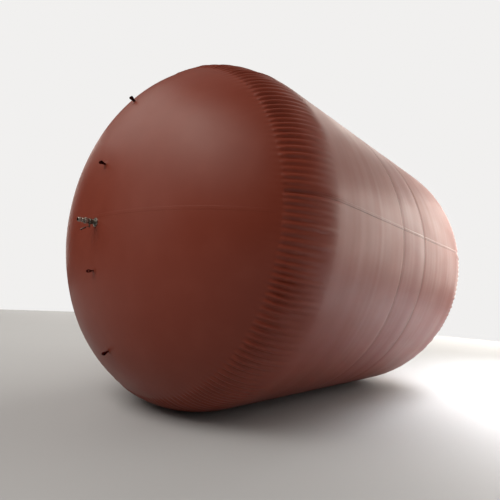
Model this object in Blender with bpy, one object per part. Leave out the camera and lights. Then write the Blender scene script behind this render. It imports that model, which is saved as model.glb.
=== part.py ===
"""Biogas storage bag: a low-pressure PVC membrane gas holder lying on level ground.

Frame: +Z up, X along the bag's axis, the valve end at -X, origin on the ground under
the middle of the bag. The membrane is drawn thicker than the real fabric so that it is
a solid wall. Distances are in metres.
"""
import bmesh
import bpy
import numpy as np
from math import cos, pi, radians, sin, sqrt
from mathutils import Matrix, Vector

# Envelope of the inflated bag
RADIUS = 2.95
BARREL = 4.98
DOME = 1.915
DOME_ROUNDNESS = 0.6
CAP_SEAM_RADIUS = 0.895 * RADIUS
FRONT_HOOP_SEAM = -0.44
REAR_HOOP_SEAM = 0.55

# Facets round each half of the bag; the lowest three facets are pressed flat. The hoops are
# turned one facet against the caps, so their side seams lie above axis height at -Y.
HALF_SEGMENTS = 31
STEP_ANGLE = pi / HALF_SEGMENTS
CONTACT_ANGLE = 1.5 * STEP_ANGLE
AXIS_HEIGHT = RADIUS * cos(CONTACT_ANGLE)
FACET_INSET = cos(STEP_ANGLE / 2)
HOOP_TURN = STEP_ANGLE

# Membrane, welded laps and working gaps
MEMBRANE = 0.012
LAP_WIDTH = 0.050
LAP_THICKNESS = 0.003
GAP = 0.0003
LAP_FREE_STEPS = 2
LAP_END_CLEARANCE = 0.002

# Pull tabs of folded webbing on the vertical meridian of each cap
TAB_RADII = (0.27 * RADIUS, 0.66 * RADIUS)
TAB_WIDTH = 0.050
TAB_STRAP = 0.006
TAB_LENGTH = 0.100
TAB_EYE = 0.019
TAB_FOOT = 0.030
TAB_PATCH_RADIUS = 0.065
TAB_PATCH_THICKNESS = 0.003

# Radii at which the cap's facets meet, from the pole outwards
CAP_RADII = [0.0, 0.19, 0.45, TAB_RADII[0], 1.20, 1.55, TAB_RADII[1], 2.22, 2.45]

# Gas connection just under the cross seam of the near cap, outwards from the membrane
PORT_DROP = 0.095
PORT_HOLE = 0.0335
FLANGE_RADIUS = 0.067
FLANGE_THICKNESS = 0.012
BORE = 0.025
NIPPLE_RADIUS = 0.032
NIPPLE_INSIDE = -0.030
VALVE_START = 0.045
VALVE_END = 0.125
VALVE_SHOULDER = 0.036
VALVE_BELLY = 0.043
BALL_CENTRE = 0.085
BALL_RADIUS = 0.033
BALL_BORE = 0.022
BALL_CLEARANCE = 0.002
UNION_END = 0.165
UNION_CORNER = 0.049
BARB_END = 0.262
BARB_NECK = 0.0275
BARB_RIDGE = 0.0335
BARB_BORE = 0.024
TURNED_SEGMENTS = 24

# Quarter-turn lever under the valve
STEM_RADIUS = 0.008
STEM_HOLE = 0.009
GLAND_DEPTH = 0.014
GLAND_CORNER = 0.016
LEVER_DROP = 0.078
LEVER_THICKNESS = 0.004
LEVER_WIDTH = 0.022
LEVER_HEEL = 0.014
LEVER_KNEE = 0.030
LEVER_BLADE_END = (0.048, 0.012)
GRIP_END = (0.125, 0.066)
GRIP_THICKNESS = 0.013
GRIP_WIDTH = 0.027
LEVER_NUT_CORNER = 0.011
LEVER_NUT_DEPTH = 0.008

MEMBRANE_RED = (0.215, 0.058, 0.040)
LAP_RED = (0.190, 0.050, 0.035)
WEBBING = (0.020, 0.005, 0.005)
GRIP_RED = (0.045, 0.004, 0.006)
STEEL = (0.55, 0.52, 0.49)
BRIGHT_STEEL = (0.78, 0.75, 0.71)


def clear_scene():
    for item in list(bpy.data.objects):
        bpy.data.objects.remove(item, do_unlink=True)


def material(name, colour, roughness, metallic):
    made = bpy.data.materials.new(name)
    made.use_nodes = True
    shader = made.node_tree.nodes["Principled BSDF"]
    shader.inputs["Base Color"].default_value = (*colour, 1.0)
    shader.inputs["Roughness"].default_value = roughness
    shader.inputs["Metallic"].default_value = metallic
    return made


def finish(name, bm, surface, parent=None, sharp_angle=30.0):
    """Store a bmesh as a named object whose faces point outwards."""
    bmesh.ops.recalc_face_normals(bm, faces=bm.faces)
    mesh = bpy.data.meshes.new(name)
    bm.to_mesh(mesh)
    bm.free()
    mesh.materials.append(surface)
    mesh.shade_smooth()
    mesh.set_sharp_from_angle(angle=radians(sharp_angle))
    made = bpy.data.objects.new(name, mesh)
    bpy.context.collection.objects.link(made)
    if parent is not None:
        made.parent = parent
        made.matrix_parent_inverse = Matrix.Translation(-parent.location)
    return made


# Profile of the dome: between an ellipse and the flatter curve that an inextensible disc of
# fabric takes up when it is inflated
TABLE_ANGLES = np.linspace(0.0, pi / 2, 2001)
TABLE_RADII = np.sqrt(np.sin(TABLE_ANGLES))
TABLE_STEPS = (TABLE_RADII[1:] + TABLE_RADII[:-1]) / 4 * np.diff(TABLE_ANGLES)
TABLE_DEPTHS = np.concatenate([[0.0], np.cumsum(TABLE_STEPS)])
FABRIC_DEPTH = TABLE_DEPTHS[-1]
POLE = BARREL / 2 + DOME


def dome_station(radius):
    """Point on the near dome's outer profile and its outward normal: (x, r, nx, nr)."""
    share = radius / RADIUS
    if share > 0.99999:
        return (-BARREL / 2, RADIUS, 0.0, 1.0)
    fabric = np.interp(share, TABLE_RADII, TABLE_DEPTHS) / FABRIC_DEPTH
    ellipse = 1 - sqrt(1 - share**2)
    depth = DOME * ((1 - DOME_ROUNDNESS) * fabric + DOME_ROUNDNESS * ellipse)
    fabric_slope = share**2 / sqrt(1 - share**4) / FABRIC_DEPTH
    ellipse_slope = share / sqrt(1 - share**2)
    slope = DOME / RADIUS * ((1 - DOME_ROUNDNESS) * fabric_slope + DOME_ROUNDNESS * ellipse_slope)
    length = sqrt(1 + slope**2)
    return (-POLE + depth, radius, -1 / length, slope / length)


def barrel_station(x):
    return (x, RADIUS, 0.0, 1.0)


def along(station, distance):
    """Move a station along the profile, away from the near pole."""
    x, r, nx, nr = station
    return (x + distance * nr, r - distance * nx, nx, nr)


def mirrored(stations):
    return [(-x, r, -nx, nr) for x, r, nx, nr in reversed(stations)]


def shoulder_stations(first_radius):
    """Stations from a radius on the dome to the equator, closer together towards the equator."""
    first = np.arcsin((first_radius / RADIUS) ** 2)
    slopes = np.linspace(first, pi / 2, 5)
    return [dome_station(RADIUS * sqrt(sin(slope))) for slope in slopes]


def turned_round(across, up, turn):
    """Turn a point about the bag's axis so that its -Y side rises: (y, height above the axis)."""
    return (across * cos(turn) + up * sin(turn), up * cos(turn) - across * sin(turn))


def ring_point(station, angle, offset, side=0, turn=0.0):
    """Point at an angle round the bag, pressed flat at the ground, kept off the split plane."""
    x, r, nx, nr = station
    radius = r + offset * nr
    up = radius * sin(angle)
    if abs(up) < 1e-6:
        up = side * GAP / 2
    across, up = turned_round(-radius * cos(angle), up, turn)
    lowest = max(0.0, -offset)
    return Vector((x + offset * nx, across, max(AXIS_HEIGHT + up, lowest)))


def slab(outer, inner):
    """Closed solid between two matching grids of points."""
    bm = bmesh.new()
    rows, columns = len(outer), len(outer[0])
    skin = [[bm.verts.new(point) for point in row] for row in outer]
    lining = [[bm.verts.new(point) for point in row] for row in inner]
    for i in range(rows - 1):
        for j in range(columns - 1):
            bm.faces.new((skin[i][j], skin[i][j + 1], skin[i + 1][j + 1], skin[i + 1][j]))
            bm.faces.new((lining[i][j], lining[i + 1][j], lining[i + 1][j + 1], lining[i][j + 1]))
    for i in range(rows - 1):
        for j in (0, columns - 1):
            bm.faces.new((skin[i][j], skin[i + 1][j], lining[i + 1][j], lining[i][j]))
    for j in range(columns - 1):
        for i in (0, rows - 1):
            bm.faces.new((skin[i][j], skin[i][j + 1], lining[i][j + 1], lining[i][j]))
    return bm


def half_angles(side):
    """Angles of one half of the bag: side 1 goes over the top, side -1 under the bottom."""
    return [side * STEP_ANGLE * i for i in range(HALF_SEGMENTS + 1)]


def half_shell(name, stations, side, turn, surface):
    """One panel of the membrane, half of the way round."""
    angles = half_angles(side)
    outer = [[ring_point(s, a, 0.0, side, turn) for a in angles] for s in stations]
    inner = [[ring_point(s, a, -MEMBRANE, side, turn) for a in angles] for s in stations]
    bm = slab(outer, inner)
    bmesh.ops.remove_doubles(bm, verts=bm.verts, dist=1e-6)
    return finish(name, bm, surface)


def ring_lap(name, seam, surface):
    """Doubled strip over a seam round the bag, which stops beside the pressed-flat ground strip."""
    steps = HALF_SEGMENTS + 2 * (HALF_SEGMENTS // 2 - LAP_FREE_STEPS)
    first = -(HALF_SEGMENTS // 2 - LAP_FREE_STEPS)
    angles = [STEP_ANGLE * (first + i) for i in range(steps + 1)]
    stations = [along(seam, d) for d in (-LAP_WIDTH / 2, 0.0, LAP_WIDTH / 2)]
    outer = [[ring_point(s, a, GAP + LAP_THICKNESS) for a in angles] for s in stations]
    inner = [[ring_point(s, a, GAP) for a in angles] for s in stations]
    return finish(name, slab(outer, inner), surface)


def side_lap(name, stations, side, surface):
    """Doubled strip over a hoop's side seam, on the -Y side (1) or the +Y side (-1)."""
    heights = (-LAP_WIDTH / 2, 0.0, LAP_WIDTH / 2)

    def point(station, height, offset):
        x, r, nx, nr = station
        radius = r + offset * nr
        across, up = turned_round(-side * sqrt(radius**2 - height**2), height, HOOP_TURN)
        return Vector((x + offset * nx, across, AXIS_HEIGHT + up))

    outer = [[point(s, h, GAP + LAP_THICKNESS) for h in heights] for s in stations]
    inner = [[point(s, h, GAP) for h in heights] for s in stations]
    return finish(name, slab(outer, inner), surface)


def cross_lap(name, end, surface):
    """Doubled strip over the seam between a cap's half discs, from rim to rim over the pole."""
    rim = along(dome_station(CAP_SEAM_RADIUS), -LAP_WIDTH / 2 - LAP_END_CLEARANCE)[1]
    reaches = CAP_RADII[1:] + [rim]
    places = [-r for r in reversed(reaches)] + [0.0] + reaches
    heights = (-LAP_WIDTH / 2, 0.0, LAP_WIDTH / 2)

    def point(across, height, offset):
        radius = sqrt(across**2 + height**2)
        x, _, nx, nr = dome_station(radius)
        share = 1 + offset * nr / max(radius, LAP_WIDTH)
        return Vector((-end * (x + offset * nx), across * share, AXIS_HEIGHT + height * share))

    outer = [[point(y, h, GAP + LAP_THICKNESS) for h in heights] for y in places]
    inner = [[point(y, h, GAP) for h in heights] for y in places]
    return finish(name, slab(outer, inner), surface)


def turned(outline, segments=TURNED_SEGMENTS):
    """Closed outline of (distance outwards, radius) spun round the port's axis."""
    bm = bmesh.new()
    rings = []
    for k in range(segments):
        angle = 2 * pi * (k + 0.5) / segments
        rings.append([bm.verts.new(at_port(u, r * sin(angle), r * cos(angle))) for u, r in outline])
    count = len(outline)
    for k in range(segments):
        here, there = rings[k], rings[(k + 1) % segments]
        for i in range(count):
            after = (i + 1) % count
            bm.faces.new((here[i], here[after], there[after], there[i]))
    return bm


def at_port(out, across, up):
    """World point at a distance outwards from the near cap, on the port's axis or beside it."""
    return Vector((-POLE - out, across, AXIS_HEIGHT - PORT_DROP + up))


def tube_outline(start, end, outer, inner):
    return [(start, outer), (end, outer), (end, inner), (start, inner)]


def post(radius, top, bottom, segments, out):
    """Upright prism under the valve, between two depths below the port's axis."""
    bm = bmesh.new()
    bmesh.ops.create_cone(bm, cap_ends=True, segments=segments, radius1=radius, radius2=radius,
                          depth=bottom - top)
    bmesh.ops.translate(bm, verts=bm.verts, vec=at_port(out, 0.0, -(top + bottom) / 2))
    return bm


def bent_strip(path, thickness, width, frame):
    """Flat bar of even thickness along a path of 2D points, mapped into space by frame."""
    count = len(path)
    sides = []
    for i in range(count):
        before = Vector(path[max(i - 1, 0)])
        here = Vector(path[i])
        after = Vector(path[min(i + 1, count - 1)])
        incoming = (here - before).normalized() if i else (after - here).normalized()
        outgoing = (after - here).normalized() if i < count - 1 else incoming
        middle = (incoming + outgoing).normalized()
        normal = Vector((-middle.y, middle.x)) / max(middle.dot(incoming), 0.5)
        sides.append((here + normal * thickness / 2, here - normal * thickness / 2))
    widths = (-width / 2, width / 2)
    upper = [[frame(a.x, a.y, w) for w in widths] for a, _ in sides]
    lower = [[frame(b.x, b.y, w) for w in widths] for _, b in sides]
    return slab(upper, lower)


def tab_path():
    """Side view of a webbing loop: foot, leg, round eye, leg, foot, as (sideways, outwards)."""
    centre = TAB_LENGTH - TAB_STRAP / 2 - TAB_EYE
    base = TAB_PATCH_THICKNESS
    half_neck = TAB_STRAP * 0.75
    eye = [(TAB_EYE * sin(a), centre + TAB_EYE * cos(a)) for a in np.linspace(-2.2, 2.2, 9)]
    left = [(-TAB_FOOT, base), (-half_neck - TAB_STRAP, base), (-half_neck, base + TAB_STRAP)]
    right = [(-across, out) for across, out in reversed(left)]
    return left + eye + right


def as_tool(made):
    """Mark an object as one that only cuts or joins others."""
    made.hide_render = True
    made.display_type = "WIRE"
    return made


def cut_by(made, tool):
    """Take the tool's shape out of an object."""
    cut = made.modifiers.new("cut", "BOOLEAN")
    cut.operation = "DIFFERENCE"
    cut.object = tool


def port_hole_tool(surface):
    """Cylinder along the port's axis, through the membrane."""
    place = Matrix.Translation(at_port(0.0, 0.0, 0.0)) @ Matrix.Rotation(pi / 2, 4, "Y")
    bm = bmesh.new()
    bmesh.ops.create_cone(bm, cap_ends=True, segments=TURNED_SEGMENTS, radius1=PORT_HOLE,
                          radius2=PORT_HOLE, depth=8 * MEMBRANE, matrix=place)
    return as_tool(finish("port_hole_tool", bm, surface))


def pull_tab(name, radius, side, near, surface, parent):
    """Welded patch with a webbing loop, above (side 1) or below (side -1) the pole."""
    x, r, nx, nr = dome_station(radius)
    end = 1 if near else -1
    foot = Vector((end * x, 0.0, AXIS_HEIGHT + side * r * FACET_INSET))
    out = Vector((end * nx, 0.0, side * nr))
    up = Vector((0.0, 1.0, 0.0)).cross(out)

    def frame(sideways, outwards, across):
        return foot + up * sideways + out * (outwards + GAP) + Vector((0.0, across, 0.0))

    loop = finish(name, bent_strip(tab_path(), TAB_STRAP, TAB_WIDTH, frame), surface, parent)
    bm = bmesh.new()
    turn = out.to_track_quat("Z", "Y").to_matrix().to_4x4()
    spot = foot + out * (GAP + TAB_PATCH_THICKNESS / 2)
    bmesh.ops.create_cone(bm, cap_ends=True, segments=TURNED_SEGMENTS, radius1=TAB_PATCH_RADIUS,
                          radius2=TAB_PATCH_RADIUS, depth=TAB_PATCH_THICKNESS,
                          matrix=Matrix.Translation(spot) @ turn)
    patch = as_tool(finish(name + "_patch_tool", bm, surface, parent))
    union = loop.modifiers.new("patch", "BOOLEAN")
    union.operation = "UNION"
    union.object = patch
    return loop


def panel_stations():
    """Profile stations of each ring of panels, near end to far end."""
    seam = dome_station(CAP_SEAM_RADIUS)
    cap = [dome_station(r) for r in CAP_RADII] + [along(seam, -GAP / 2)]
    shoulder = [along(seam, GAP / 2)] + shoulder_stations(CAP_SEAM_RADIUS)[1:]
    front = shoulder + [along(barrel_station(FRONT_HOOP_SEAM), -GAP / 2)]
    middle = [along(barrel_station(FRONT_HOOP_SEAM), GAP / 2),
              along(barrel_station(REAR_HOOP_SEAM), -GAP / 2)]
    rear = [along(barrel_station(REAR_HOOP_SEAM), GAP / 2)] + mirrored(shoulder)
    return {"near_cap": cap, "front_hoop": front, "middle_hoop": middle, "rear_hoop": rear,
            "far_cap": mirrored(cap)}


def build_membrane(surface, lap_surface):
    stations = panel_stations()
    for panel, profile in stations.items():
        turn = HOOP_TURN if "hoop" in panel else 0.0
        half_shell(panel + "_upper", profile, 1, turn, surface)
        lower = half_shell(panel + "_lower", profile, -1, turn, surface)
        if panel == "near_cap":
            cut_by(lower, port_hole_tool(surface))

    cap_seam = dome_station(CAP_SEAM_RADIUS)
    seams = {"near_cap_lap": cap_seam, "front_hoop_lap": barrel_station(FRONT_HOOP_SEAM),
             "rear_hoop_lap": barrel_station(REAR_HOOP_SEAM), "far_cap_lap": mirrored([cap_seam])[0]}
    for name, seam in seams.items():
        ring_lap(name, seam, lap_surface)

    clear = LAP_WIDTH / 2 + LAP_END_CLEARANCE
    for name, side in (("left", 1), ("right", -1)):
        for panel in ("front_hoop", "middle_hoop", "rear_hoop"):
            run = stations[panel]
            run = [along(run[0], clear)] + run[1:-1] + [along(run[-1], -clear)]
            side_lap(f"{panel}_side_lap_{name}", run, side, lap_surface)
    cross_lap("near_cap_cross_lap", -1, lap_surface)
    cross_lap("far_cap_cross_lap", 1, lap_surface)


def build_tabs(surface, parent):
    for end, near in (("near", True), ("far", False)):
        for place, side in (("upper", 1), ("lower", -1)):
            for ring, radius in zip(("inner", "outer"), TAB_RADII):
                pull_tab(f"{end}_tab_{place}_{ring}", radius, side, near, surface, parent)


def build_port(steel, bright, parent):
    """Flange, nipple, ball valve body, union nut and hose tail, on the near cap."""
    seat = GAP
    edge = 0.002
    flange = [(seat, FLANGE_RADIUS), (seat + FLANGE_THICKNESS - edge, FLANGE_RADIUS),
              (seat + FLANGE_THICKNESS, FLANGE_RADIUS - edge),
              (seat + FLANGE_THICKNESS, NIPPLE_RADIUS + GAP), (seat, NIPPLE_RADIUS + GAP)]
    finish("port_flange", turned(flange), bright, parent)
    nipple = tube_outline(NIPPLE_INSIDE, VALVE_START, NIPPLE_RADIUS, BORE)
    finish("port_nipple", turned(nipple), steel, parent)

    cavity = BALL_RADIUS + BALL_CLEARANCE
    reach = np.arcsin(BORE / cavity)
    slope = 0.008
    outer = [(VALVE_START + GAP, VALVE_SHOULDER), (VALVE_START + slope, VALVE_SHOULDER),
             (VALVE_START + 2 * slope, VALVE_BELLY), (VALVE_END - 2 * slope, VALVE_BELLY),
             (VALVE_END - slope, VALVE_SHOULDER), (VALVE_END, VALVE_SHOULDER)]
    arc = [(BALL_CENTRE + cavity * cos(a), cavity * sin(a)) for a in np.linspace(reach, pi - reach, 9)]
    inner = [(VALVE_END, BORE)] + arc + [(VALVE_START + GAP, BORE)]
    body = finish("valve_body", turned(outer + inner), steel, parent)
    drill = post(STEM_HOLE, BORE, VALVE_BELLY + GLAND_DEPTH, 16, BALL_CENTRE)
    cut_by(body, as_tool(finish("stem_hole_tool", drill, steel, parent)))

    union = [(VALVE_END + GAP, UNION_CORNER), (UNION_END, UNION_CORNER), (UNION_END, BORE),
             (VALVE_END + GAP, BORE)]
    finish("union_nut", turned(union, 6), bright, parent)

    start = UNION_END + GAP
    tail = [(start, BARB_NECK), (0.186, BARB_NECK), (0.192, BARB_RIDGE), (0.202, BARB_RIDGE),
            (0.214, BARB_NECK), (0.224, BARB_NECK), (0.230, BARB_RIDGE), (BARB_END, BARB_RIDGE),
            (BARB_END, BARB_BORE), (start, BARB_BORE)]
    finish("hose_tail", turned(tail), bright, parent)

    gland_top = VALVE_BELLY + GAP
    gland = post(GLAND_CORNER, gland_top, gland_top + GLAND_DEPTH, 6, BALL_CENTRE)
    nut = finish("gland_nut", gland, bright, parent)
    drill = post(STEM_HOLE, VALVE_SHOULDER, gland_top + 2 * GLAND_DEPTH, 16, BALL_CENTRE)
    cut_by(nut, as_tool(finish("gland_hole_tool", drill, bright, parent)))


def build_lever(steel, bright, grip_surface, axis):
    """Ball, stem, blade, grip and nut, which turn together about the upright stem."""
    reach = np.arcsin(BALL_BORE / BALL_RADIUS)
    ball = [(BALL_CENTRE + BALL_RADIUS * cos(a), BALL_RADIUS * sin(a))
            for a in np.linspace(pi - reach, reach, 11)]
    finish("valve_ball", turned(ball), bright, axis)

    finish("valve_stem", post(STEM_RADIUS, BALL_RADIUS + GAP, LEVER_DROP - GAP, 16, BALL_CENTRE),
           steel, axis)

    def frame(out, down, across):
        return at_port(BALL_CENTRE + out, across, -down)

    level = LEVER_DROP + LEVER_THICKNESS / 2
    knee = (LEVER_KNEE, level)
    blade_end = (LEVER_BLADE_END[0], level + LEVER_BLADE_END[1])
    blade = [(-LEVER_HEEL, level), knee, blade_end]
    finish("lever_blade", bent_strip(blade, LEVER_THICKNESS, LEVER_WIDTH, frame), steel, axis)

    direction = (Vector(blade_end) - Vector(knee)).normalized()
    grip_start = Vector(blade_end) + direction * GAP
    grip_tip = Vector((GRIP_END[0], level + GRIP_END[1]))
    bend = grip_start + direction * 0.012
    grip = [tuple(grip_start), tuple(bend), tuple(grip_tip)]
    finish("lever_grip", bent_strip(grip, GRIP_THICKNESS, GRIP_WIDTH, frame), grip_surface, axis)

    nut_top = LEVER_DROP + LEVER_THICKNESS + GAP
    finish("lever_nut", post(LEVER_NUT_CORNER, nut_top, nut_top + LEVER_NUT_DEPTH, 6, BALL_CENTRE),
           bright, axis)


def empty(name, place):
    made = bpy.data.objects.new(name, None)
    made.location = place
    bpy.context.collection.objects.link(made)
    return made


def main():
    clear_scene()
    membrane = material("membrane", MEMBRANE_RED, 0.42, 0.0)
    lap = material("welded_lap", LAP_RED, 0.45, 0.0)
    webbing = material("webbing", WEBBING, 0.80, 0.0)
    steel = material("valve_steel", STEEL, 0.35, 0.9)
    bright = material("bright_steel", BRIGHT_STEEL, 0.22, 1.0)
    grip = material("lever_grip", GRIP_RED, 0.50, 0.0)

    build_membrane(membrane, lap)
    fittings = empty("fittings", (0.0, 0.0, AXIS_HEIGHT))
    build_tabs(webbing, fittings)
    build_port(steel, bright, fittings)
    lever_axis = empty("lever_axis", at_port(BALL_CENTRE, 0.0, 0.0))
    build_lever(steel, bright, grip, lever_axis)


main()
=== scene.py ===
"""Looks of the biogas storage bag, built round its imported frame.

Frame: +Z up, X along the bag's axis with the valve end at -X, origin on the ground under
the middle of the bag, in metres. Membrane, laps, pull tabs and valve are modelled finely
here, in the places that the frame gives them.
"""
from math import ceil, cos, inf, pi, radians, sin, sqrt

import bmesh
import bpy
import numpy as np
from mathutils import Matrix, Vector


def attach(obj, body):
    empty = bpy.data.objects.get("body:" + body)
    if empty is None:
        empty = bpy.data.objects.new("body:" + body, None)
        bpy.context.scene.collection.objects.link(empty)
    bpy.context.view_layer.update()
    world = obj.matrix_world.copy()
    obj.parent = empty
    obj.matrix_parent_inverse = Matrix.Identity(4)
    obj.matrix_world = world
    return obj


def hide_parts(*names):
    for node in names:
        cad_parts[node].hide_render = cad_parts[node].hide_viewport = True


# Shape of the inflated bag, as in its frame
RADIUS = 2.95
BARREL = 4.98
DOME = 1.915
DOME_ROUNDNESS = 0.6
POLE = BARREL / 2 + DOME
CAP_SEAM_RADIUS = 0.895 * RADIUS
FRONT_HOOP_SEAM = -0.44
REAR_HOOP_SEAM = 0.55
HALF_SEGMENTS = 31
STEP_ANGLE = pi / HALF_SEGMENTS
AXIS_HEIGHT = RADIUS * cos(1.5 * STEP_ANGLE)
HOOP_TURN = STEP_ANGLE
MEMBRANE = 0.012
GAP = 0.0003

# Fineness of the membrane's meshes, outside and inside
COLUMNS_FINE = 24 * HALF_SEGMENTS
COLUMNS_PLAIN = 6 * HALF_SEGMENTS
INNER_COLUMNS = HALF_SEGMENTS
INNER_EVERY = 7

# Welded laps
LAP_WIDTH = 0.050
LAP_RISE = 0.0024
CAP_LAP_RISE = 0.0004
CROSS_LAP_RISE = 0.0010
LAP_ROOT = -0.004
LAP_SHOULDER = 0.002
# Painted shade along one edge of the laps and a painted highlight along the other: their reaches, their fade,
# and the span along X where the highlight comes in
LAP_SHADE_LINE = 0.011
LAP_HIGHLIGHT_LINE = 0.013
LAP_LINE_FADE = 0.003
LAP_HIGHLIGHT_RUN = (-1.4, 0.2)
LAP_END_CLEARANCE = 0.002
LAP_FREE_ANGLE = radians(75.5)

# Gathers of the hoop panels where they are welded to the smaller caps
PLEATS = 186
PLEAT_HEIGHT = 0.030
PLEAT_REACH = 0.98
PLEAT_RISE = 0.085
PLEAT_SHARPNESS = 1.5
PINCH_DEPTH = 0.007
CAP_RIPPLE = 0.12
CAP_RIPPLE_REACH = 0.07
# Share of the full height at elevations round the bag, in degrees
PLEAT_ELEVATIONS = (-90, -62, -45, -20, -13, 0, 9, 16, 30, 90)
PLEAT_STRENGTHS = (0.7, 1.1, 1.4, 1.3, 1.15, 0.95, 0.85, 1.05, 1.25, 1.25)

# Creases along the side seams, beside the hoop seams and under the port
SIDE_FOLD_DEPTH = 0.036
SIDE_FOLD_RIDGE = 0.014
SIDE_FOLD_WIDTH = 0.042
SIDE_FOLD_REACH = 1.30
HOOP_GROOVE_DEPTH = 0.008
HOOP_GROOVE_WIDTH = 0.055
STREAK_SLOPE = 0.018
SAG_SLOPE = 0.006
# Flat seat under the flange, and the bearing, reach and depth of each crease beside it
PORT_SEAT = 0.075
PORT_SEAT_EASE = 0.09
PORT_CREASES = ((-1.95, 0.36, 0.0075), (-1.40, 0.44, 0.0100), (-0.90, 0.26, 0.0060),
                (-0.35, 0.22, 0.0035))
PORT_CREASE_START = 0.06
PORT_CREASE_WIDTH = 0.018
PORT_CREASE_SPREAD = 0.09
PORT_AREA_DEPTH = 0.25

# Pull tabs of folded webbing
TAB_RADII = {"inner": 0.27 * RADIUS, "outer": 0.66 * RADIUS}
TAB_WIDTH = 0.050
TAB_STRAP = 0.0045
TAB_LENGTH = 0.100
TAB_EYE = 0.0195
TAB_NECK = 0.026
TAB_TURN = 0.012
TAB_FOOT = 0.032
TAB_PATCH_RADIUS = 0.065
TAB_PATCH_THICKNESS = 0.0028
TAB_NECK_HALF = TAB_STRAP * 0.55
STITCH_LENGTH = 0.0045
STITCH_PAUSE = 0.0015
STITCH_MARGIN = 0.005
STITCH_RADIUS = 0.0006
NECK_STITCH_HEIGHTS = (0.017, 0.021, 0.025)
FOOT_STITCH_REACHES = (0.019, 0.027)
# A stitch's rings along its length, as shares: place, size and rise
STITCH_STATIONS = ((0.0, 0.35, 0.0), (0.2, 0.9, 0.6), (0.5, 1.0, 1.0), (0.8, 0.9, 0.6), (1.0, 0.35, 0.0))
STITCH_SIDES = 6

# Gas connection: distances outwards from the cap along the port's axis
PORT_DROP = 0.095
PORT_HEIGHT = AXIS_HEIGHT - PORT_DROP
PORT_HOLE = 0.0335
HOLE_CUT_REACH = 0.15
FLANGE_RADIUS = 0.067
FLANGE_THICKNESS = 0.012
BORE = 0.025
NIPPLE_RADIUS = 0.032
NIPPLE_INSIDE = -0.030
THREAD_PITCH = 0.0023
THREAD_DEPTH = 0.0009
VALVE_START = 0.045
VALVE_END = 0.125
VALVE_SHOULDER = 0.036
VALVE_BELLY = 0.043
BALL_CENTRE = 0.085
BALL_RADIUS = 0.033
BALL_BORE = 0.022
BALL_CLEARANCE = 0.002
UNION_END = 0.165
UNION_CORNER = 0.049
BARB_END = 0.262
BARB_NECK = 0.0275
BARB_RIDGE = 0.0335
BARB_BORE = 0.024
STEM_RADIUS = 0.008
STEM_HOLE = 0.009
GLAND_DEPTH = 0.014
GLAND_CORNER = 0.016
LEVER_DROP = 0.078
LEVER_THICKNESS = 0.004
LEVER_WIDTH = 0.022
LEVER_HEEL = 0.014
LEVER_KNEE = 0.030
LEVER_BLADE_END = (0.048, 0.012)
GRIP_END = (0.125, 0.066)
GRIP_THICKNESS = 0.019
GRIP_WIDTH = 0.030
LEVER_NUT_CORNER = 0.011
LEVER_NUT_DEPTH = 0.008
ROUND_SEGMENTS = 96
STEM_SEGMENTS = 48
HEXAGON_WEAR = 0.985

# Camera at the photograph's viewpoint
SENSOR = 36.0
LENS = 28.32
CAMERA_PLACE = (-6.990, -5.512, AXIS_HEIGHT - 1.063)
CAMERA_YAW = 0.8206
CAMERA_PITCH = 0.1253
CAMERA_ROLL = 0.0652

# Studio: soft lights as (azimuth and elevation in degrees, share of the full power)
SOFT_LIGHTS = ((306, 11, 0.03), (318, 11, 0.10), (330, 11, 0.16), (342, 11, 0.17), (354, 11, 0.13),
               (8, 11, 0.16), (20, 11, 0.10), (310, 34, 0.10), (335, 34, 0.06), (0, 34, 0.10),
               (25, 34, 0.24), (78, 14, 0.20), (155, 14, 0.09), (120, 42, 0.11), (150, 42, 0.15),
               (180, 42, 0.40), (210, 42, 0.17), (0, 68, 0.05), (90, 68, 0.02))
FLOOR_LIGHT_PLACE = (6.5, -8.0, 9.0)
FLOOR_LIGHT_SIZE = 9.0
FLOOR_LIGHT_SPREAD = radians(80.0)
FLOOR_LIGHT_POWER = 1700.0
FLOOR_LIGHT_TINT = (1.0, 0.97, 0.97)
SOFT_LIGHT_DISTANCE = 30.0
SOFT_LIGHT_SIZE = 15.0
SOFT_LIGHT_POWER = 8883.0
SOFT_LIGHT_TINT = (1.0, 0.925, 0.845)
AMBIENT_LIGHT = 0.02
BACKDROP_BRIGHTNESS = 0.88
FLOOR_RADIUS = 27.0
FLOOR_PAINT = (0.45, 0.47, 0.49)

MEMBRANE_RED = (0.205, 0.039, 0.021)
MIDDLE_ROLL_RED = (0.196, 0.036, 0.022)
LAP_RED = (0.190, 0.036, 0.019)
# Colour of the painted highlight along the laps' edges
LAP_HIGHLIGHT = (0.42, 0.28, 0.23)
MEMBRANE_ROUGHNESS = 0.42
MEMBRANE_IOR = 1.33
WEBBING = (0.026, 0.001, 0.001)
THREAD = (0.022, 0.002, 0.002)
GRIP_RED = (0.020, 0.001, 0.002)
CAST_STEEL = (0.17, 0.155, 0.13)
BRIGHT_STEEL = (0.42, 0.39, 0.35)
# Painted shade inside the port's bore
BORE_SHADE = (0.010, 0.007, 0.006)


def running_sum(rates, places):
    """Integral of rates over places, from zero."""
    steps = (rates[1:] + rates[:-1]) / 2 * np.diff(places)
    return np.concatenate([[0.0], np.cumsum(steps)])


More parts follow.
